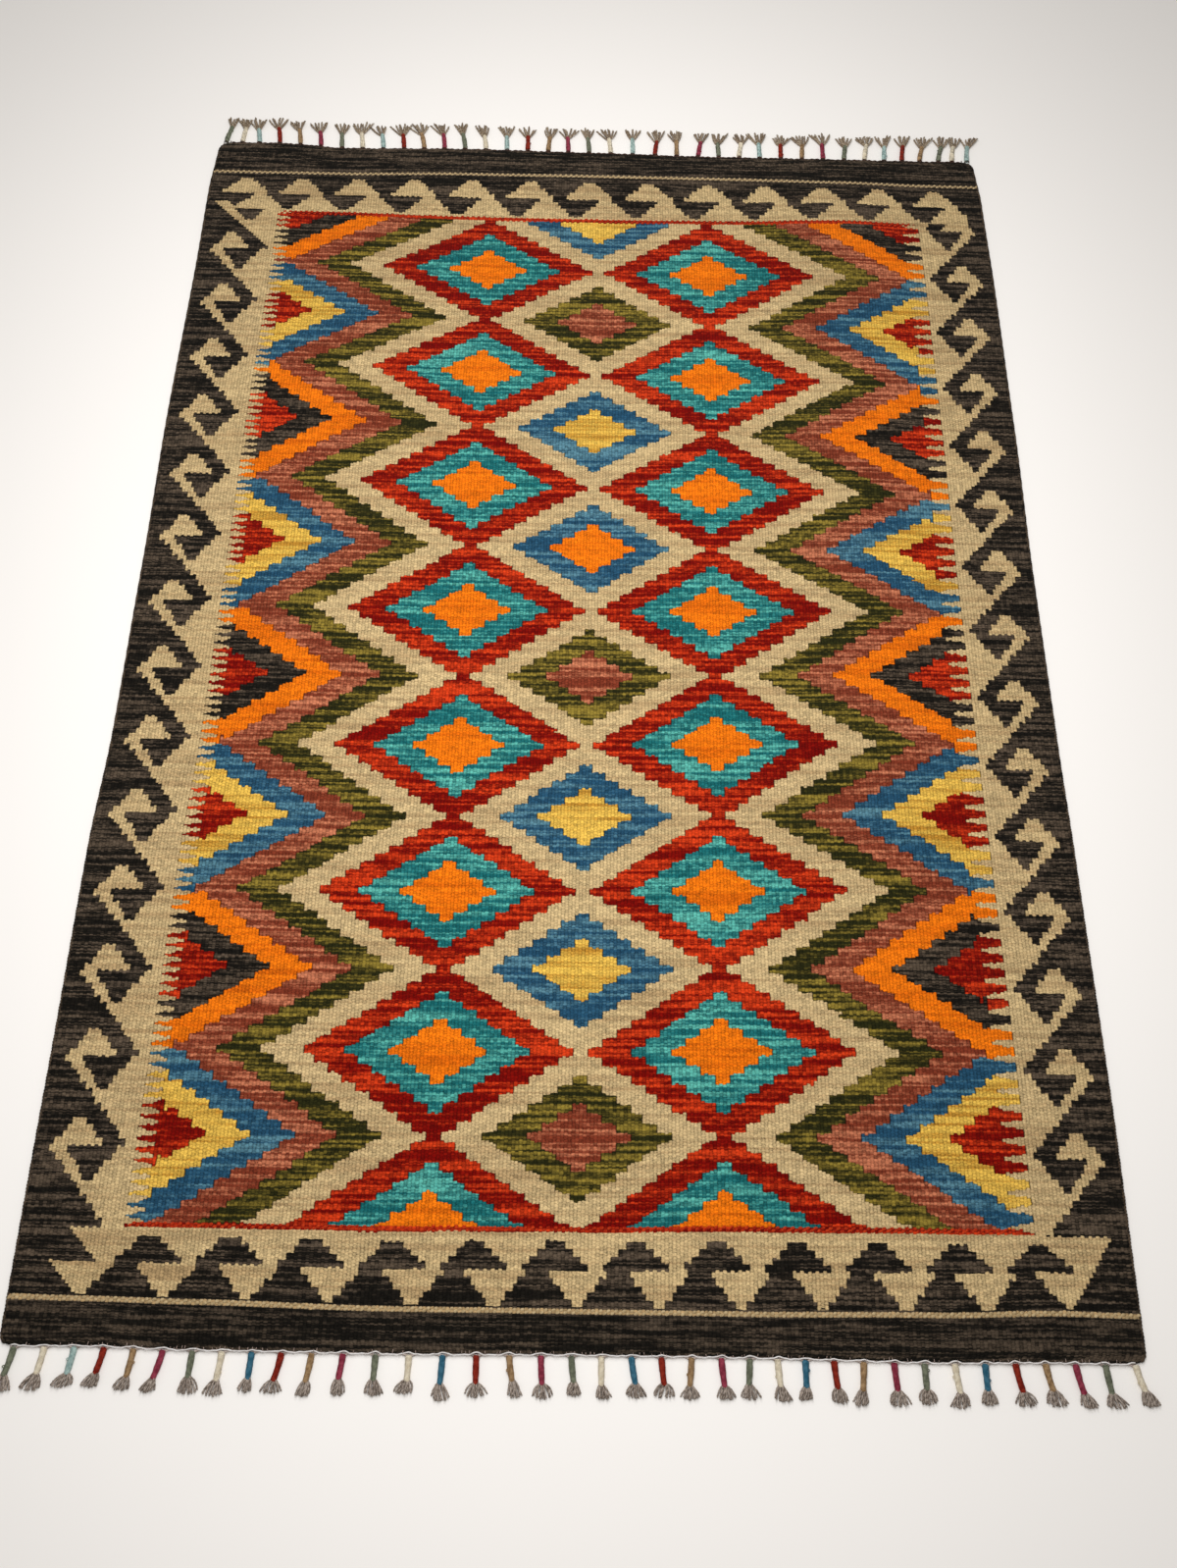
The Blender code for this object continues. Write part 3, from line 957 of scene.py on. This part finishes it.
def build_lines(cream, red):
    """The raised lines: two thick wefts each, going over and under the warps by turns."""
    edge = SIDE_BORDER_WIDTH / CLOTH_WIDTH
    pieces = []
    for name, level in LINE_LEVELS.items():
        full = name.endswith("cream")
        first, last = (0, RIBS) if full else (round(edge * RIBS), round((1 - edge) * RIBS))
        shares = np.linspace(first, last, 4 * (last - first) + 1) / RIBS
        strands = Strands(name + "_line", "woven_wool", [cream if full else red])
        x, y = cloth_points(shares, [level])
        for row in (0, 1):
            crossing = np.pi * (shares * RIBS - 0.5) + np.pi * row
            over = np.cos(crossing)
            height = CLOTH_THICKNESS + LINE_RISE - 1.95 * MM + 1.0 * MM * over
            offset = (row - 0.5) * LINE_SPACING[name] + 0.55 * MM * np.sin(crossing)
            width = (1.45 + 0.4 * over) * MM
            strands.add(np.stack((x[0], y[0] + offset, height), axis=1), width, 8, flat=0.55)
        pieces.append(strands.build())
    return pieces


def build_selvedges(dark):
    """The cloth's sides, where the weft turns round the outermost warps."""
    pieces = []
    levels = np.arange(2 * MM, CLOTH_LENGTH - 2 * MM, PICK / 2)
    for name, share, inward in (("left_selvedge", 0.0, 1), ("right_selvedge", 1.0, -1)):
        x, y = cloth_points([share], levels)
        ridge = (1.75 + 0.4 * np.cos(2 * np.pi * levels / (2 * PICK)) + 0.2 * np.sin(levels * 310)) * MM
        strands = Strands(name, "woven_wool", [dark])
        height = np.full(len(levels), 2.05 * MM)
        strands.add(np.stack((x[:, 0] + inward * 1.2 * MM, y[:, 0], height), axis=1), ridge)
        pieces.append(strands.build())
    return pieces


def tassel_path(fringe, edge, tassel, steps):
    """The middle line of a tassel's wrapped stalk, from the cloth's edge to where the wrapping ends."""
    outward = fringe["outward"]
    root, neck = tassel["root"], tassel["neck"]
    start = float(np.interp(root, *edge)) + outward * STALK_START
    length = tassel["stalk"] + (GAP + CORD_DEPTH - STALK_START)
    share = np.linspace(0, fringe["stalk_part"], steps)
    x = root + (neck - root) * (0.6 * share + 0.4 * share**2)
    y = start + outward * length * share
    tall = TASSEL_HEIGHT + (NECK_HEIGHT - TASSEL_HEIGHT) * share
    return x, y, tall / 2


def build_stalks(fringe, colours):
    """The wrapped stalks: each is a warp bundle with a coloured yarn wound tightly round it."""
    edge = edge_line(fringe)
    rng = random.Random(fringe["seed"] + 100)
    strands = Strands(fringe["name"] + "_stalks", "fringe_yarn", colours["wraps"])
    for index, tassel in enumerate(tassel_layout(fringe)):
        kind = colours[fringe["name"]](index)
        winds = round(tassel["stalk"] / WIND)
        steps = 2 * winds + 1
        x, y, z = tassel_path(fringe, edge, tassel, steps)
        share = np.linspace(0, 1, steps)
        width = TASSEL_WIDTH + (NECK_WIDTH - TASSEL_WIDTH) * share
        phase = rng.uniform(0, 6)
        lump = 1 + 0.05 * np.sin(9 * share + phase) + 0.03 * np.sin(23 * share + 2 * phase)
        ridge = np.where(np.arange(steps) % 2 == 0, 1.0, 0.9)
        taper = np.minimum(1, 0.72 + 4 * share)
        radius = width / 2 * lump * ridge * taper * fringe["thickness"]
        radius[-1] *= 0.8
        flat = TASSEL_HEIGHT / TASSEL_WIDTH
        z = np.maximum(z, radius * flat)
        strands.add(np.stack((x, y, z), axis=1), radius, 9, kind, flat, skew=WIND)
        if rng.random() < LOOP_SHARE:
            add_loop(strands, rng, x, y, z, kind)
    stalks = strands.build()
    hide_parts(fringe["name"] + "_fringe")
    return stalks


def add_loop(strands, rng, x, y, z, kind):
    """A small loop of wrapping yarn that stands out from a stalk's side."""
    at = rng.randint(len(x) // 4, 3 * len(x) // 4)
    side = rng.choice((-1, 1))
    reach = rng.uniform(1.2, 2.4) * MM
    turn = np.linspace(-0.4, math.pi + 0.4, 7)
    path = np.stack(
        (
            x[at] + side * (2.6 * MM + reach * np.sin(turn)),
            y[at] + 1.3 * MM * np.cos(turn),
            np.full(7, z[at]) + 0.5 * MM * np.sin(turn),
        ),
        axis=1,
    )
    strands.add(path, 0.55 * MM, 5, kind)


def build_brushes(fringe, plies):
    """The loose ends below each wrapping: two-ply yarns that fan out on the floor."""
    edge = edge_line(fringe)
    outward = fringe["outward"]
    yarns = fringe["strands"]
    ply_radius = fringe["ply"]
    rng = random.Random(fringe["seed"] + 200)
    strands = Strands(fringe["name"] + "_brushes", "fringe_yarn", plies)
    for tassel in tassel_layout(fringe):
        x, y, z = tassel_path(fringe, edge, tassel, 3)
        neck = np.array((x[-1], y[-1], z[-1]))
        reach = tassel["brush"] * fringe["brush_part"] + tassel["stalk"] * (1 - fringe["stalk_part"])
        power = rng.uniform(*fringe["opening"])
        curl = rng.uniform(-0.16, 0.16)
        half = tassel["width"] / 2 * fringe["widen"] * rng.uniform(0.82, 1.12)
        for index in range(yarns):
            spread = (index - (yarns - 1) / 2) / ((yarns - 1) / 2) + rng.uniform(-1, 1) * fringe["stray"]
            layer = index % 3
            ragged = rng.uniform(-1, 0.7) * fringe["raggedness"]
            length = reach * (1.03 - fringe["rounding"] * spread**2 + ragged)
            steps = max(round(length / fringe["spacing"]), 7)
            share = np.linspace(0, 1, steps)
            lean = (tassel["tip"] - neck[0]) * share
            fan = half * (spread + curl * share * (1 - abs(spread)))
            bow = fringe["bow"]
            open_out = np.sin(share**power * math.pi / 2) * bow + share * (1 - bow)
            wobble = rng.uniform(-1, 1) * MM * np.sin(share * math.pi * rng.uniform(0.9, 1.7))
            inner = spread * NECK_WIDTH * 0.36
            path_x = neck[0] + lean + inner + (fan - inner) * open_out + wobble
            path_y = neck[1] + outward * (length * share - STALK_START)
            rise = (1.05 + 1.25 * layer) * MM
            start_z = neck[2] + (layer - 1) * 1.0 * MM
            path_z = start_z + (rise - start_z) * share + 0.8 * MM * np.sin(share * math.pi)
            path_z = np.maximum(path_z, 1.05 * MM)
            twist = 2 * math.pi * share * length / PLY_TWIST + rng.uniform(0, 6)
            gap = 0.68 * ply_radius * (1 + 0.9 * np.clip(share - 0.85, 0, 1) / 0.15)
            kinds = rng.sample((0, 1, 2), 2)
            for ply, turn in enumerate((0, math.pi)):
                offset_x = gap * np.cos(twist + turn)
                offset_z = gap * np.sin(twist + turn)
                height = np.maximum(path_z + offset_z, ply_radius)
                path = np.stack((path_x + offset_x, path_y, height), axis=1)
                radius = ply_radius * (1 - 0.3 * np.clip(share - 0.9, 0, 1) / 0.1)
                strands.add(path, radius, 5, kinds[ply])
    return strands.build()


def build_gathers(fringe, kinds):
    """The bare warps that run along the cloth's edge into each tassel."""
    edge = edge_line(fringe)
    outward = fringe["outward"]
    rng = random.Random(fringe["seed"] + 300)
    strands = Strands(fringe["name"] + "_gathers", "fringe_yarn", kinds)
    for tassel in tassel_layout(fringe):
        root = tassel["root"]
        for side in (-1, 1):
            for order, reach in enumerate(fringe["gathers"]):
                out = root + side * (reach + rng.uniform(-0.8, 0.8)) * MM
                share = np.linspace(0, 1, 8)
                x = out + (root + side * 1.4 * MM - out) * share
                x = np.clip(x, edge[0][0] + 1 * MM, edge[0][-1] - 1 * MM)
                beyond = 0.1 + 1.5 * np.sqrt(share) + 2.6 * share**4 - 0.12 * order
                y = np.interp(x, *edge) + outward * beyond * MM
                z = (1.0 + 0.9 * np.sin(share * math.pi * 0.6) + rng.uniform(0, 0.6)) * MM
                strands.add(np.stack((x, y, z), axis=1), 0.72 * MM, 5, rng.randrange(len(kinds)))
    return strands.build()


def build_scallops(fringe, brown):
    """The far edge's last weft, which bulges between the tassels and knots over their roots."""
    x_edge, y_edge = edge_line(fringe)
    rng = random.Random(fringe["seed"] + 500)
    roots = [tassel["root"] for tassel in tassel_layout(fringe)]
    x = np.linspace(x_edge[0] + 3 * MM, x_edge[-1] - 3 * MM, 900)
    ripple = 0.5 * np.sin(x * (math.pi / (4.18 * MM))) + 0.35 * np.sin(x * 290 + 1) + 0.3 * np.sin(x * 93)
    y = np.interp(x, x_edge, y_edge) + (0.1 + ripple) * MM
    z = (2.3 + 0.25 * np.sin(x * 610)) * MM
    strands = Strands(fringe["name"] + "_scallops", "fringe_yarn", [brown])
    strands.add(np.stack((x, y, z), axis=1), 1.15 * MM, 6)
    for root in roots:
        reach = rng.uniform(3.0, 4.0) * MM
        turn = np.linspace(-0.2, math.pi + 0.2, 9)
        middle = float(np.interp(root, x_edge, y_edge))
        path_x = root + rng.uniform(-0.6, 0.6) * MM + reach * np.cos(turn)
        path_y = middle + (0.4 + rng.uniform(0.8, 1.6) * np.sin(turn)) * MM
        path_z = (2.5 + 2.1 * np.sin(turn)) * MM
        strands.add(np.stack((path_x, path_y, path_z), axis=1), 0.7 * MM, 6)
    return strands.build()


def build_edge_thread(fringe, cotton):
    """The thin white thread that runs along the near edge, wavy where it crosses each tassel."""
    x_edge, y_edge = edge_line(fringe)
    x = np.linspace(x_edge[0] + 1 * MM, x_edge[-1] - 1 * MM, 560)
    roots = [tassel["root"] for tassel in tassel_layout(fringe)]
    rise = sum(np.exp(-(((x - root) / (5 * MM)) ** 2)) for root in roots)
    ripple = 0.35 * np.sin(x * 410) + 0.3 * np.sin(x * 173 + 1) + 0.2 * np.sin(x * 760 + 2)
    y = np.interp(x, x_edge, y_edge) + (-1.2 + 1.9 * rise + ripple) * MM
    z = (2.9 + 0.7 * rise + 0.2 * np.sin(x * 530)) * MM
    strands = Strands("edge_thread", "fringe_yarn", [cotton])
    strands.add(np.stack((x, y, z), axis=1), 0.75 * MM, 6)
    return strands.build()


def build_warp_ends(fringe, pale):
    """Short warp ends that show through the last weft rows of the near edge."""
    x_edge, y_edge = edge_line(fringe)
    rng = random.Random(fringe["seed"] + 400)
    strands = Strands("warp_ends", "fringe_yarn", [pale])
    for rib in range(3, RIBS - 3):
        if rng.random() < 1 - WARP_END_SHARE:
            continue
        x = x_edge[rib]
        y = float(np.interp(x, x_edge, y_edge))
        length = rng.uniform(1.2, 4.0) * MM
        lean = rng.uniform(-0.9, 0.9) * MM
        share = np.linspace(0, 1, 5)
        path = np.stack(
            (
                x + lean * share + rng.uniform(-1, 1) * MM,
                y - 0.4 * MM + length * share,
                (2.75 + 1.0 * np.sin(share * math.pi)) * MM,
            ),
            axis=1,
        )
        strands.add(path, rng.uniform(0.4, 0.6) * MM, 5)
    return strands.build()


# ---------------------------------------------------------------- the whole rug


def front_colour(index):
    """The near wraps repeat in sixes, and the blue is darker from the ninth tassel on."""
    kind = index % 6
    return 6 if kind == 2 and index > 7 else kind


def back_colour(index):
    """The far wraps repeat in sixes, and start again at the last three tassels."""
    return index % 6 if index < 35 else index - 35


def main():
    """Builds the rug and its surroundings."""
    add_camera()
    add_surroundings()
    cloth = build_cloth()
    cream = yarn_material("cream_yarn", (160, 137, 100), (200, 176, 134))
    red = yarn_material("red_yarn", (140, 24, 10), (194, 62, 25))
    dark = yarn_material("dark_yarn", (26, 22, 19), (84, 70, 56), 3.0)
    wraps = [
        yarn_material("green_wrap", (98, 102, 85), (132, 136, 114), wound=True),
        yarn_material("cream_wrap", (217, 202, 175), (240, 228, 203), wound=True),
        yarn_material("light_blue_wrap", (145, 172, 168), (182, 205, 198), wound=True),
        yarn_material("red_wrap", (114, 28, 17), (151, 50, 34), wound=True),
        yarn_material("tan_wrap", (137, 107, 74), (178, 146, 108), wound=True),
        yarn_material("magenta_wrap", (124, 42, 58), (163, 68, 86), wound=True),
        yarn_material("deep_blue_wrap", (42, 92, 114), (72, 120, 142), wound=True),
    ]
    colours = {"wraps": wraps, "front": front_colour, "back": back_colour}
    plies = [
        yarn_material("brown_ply", (112, 98, 88), (146, 132, 120)),
        yarn_material("grey_ply", (134, 122, 112), (168, 154, 144)),
        yarn_material("pale_ply", (156, 142, 130), (190, 176, 164)),
    ]
    far_plies = [
        yarn_material("far_brown_ply", (109, 91, 73), (139, 119, 99)),
        yarn_material("far_grey_ply", (128, 112, 93), (160, 142, 122)),
        yarn_material("far_pale_ply", (148, 132, 112), (180, 164, 142)),
    ]
    cotton = yarn_material("white_cotton", (214, 208, 204), (240, 236, 234))
    pale = yarn_material("pale_warp", (118, 102, 94), (160, 140, 130))
    bare = [
        yarn_material("bare_warp", (168, 152, 144), (200, 186, 178)),
        yarn_material("grey_warp", (136, 122, 114), (170, 156, 148)),
    ]
    root_brown = yarn_material("root_brown", (46, 32, 27), (88, 62, 52))
    pieces = build_lines(cream, red) + build_selvedges(dark)
    pieces += [build_stalks(FRONT_FRINGE, colours), build_stalks(BACK_FRINGE, colours)]
    pieces += [build_brushes(FRONT_FRINGE, plies), build_brushes(BACK_FRINGE, far_plies)]
    pieces += [build_gathers(FRONT_FRINGE, bare), build_gathers(BACK_FRINGE, [root_brown])]
    pieces += [build_edge_thread(FRONT_FRINGE, cotton), build_warp_ends(FRONT_FRINGE, pale)]
    pieces += [build_scallops(BACK_FRINGE, root_brown)]


main()
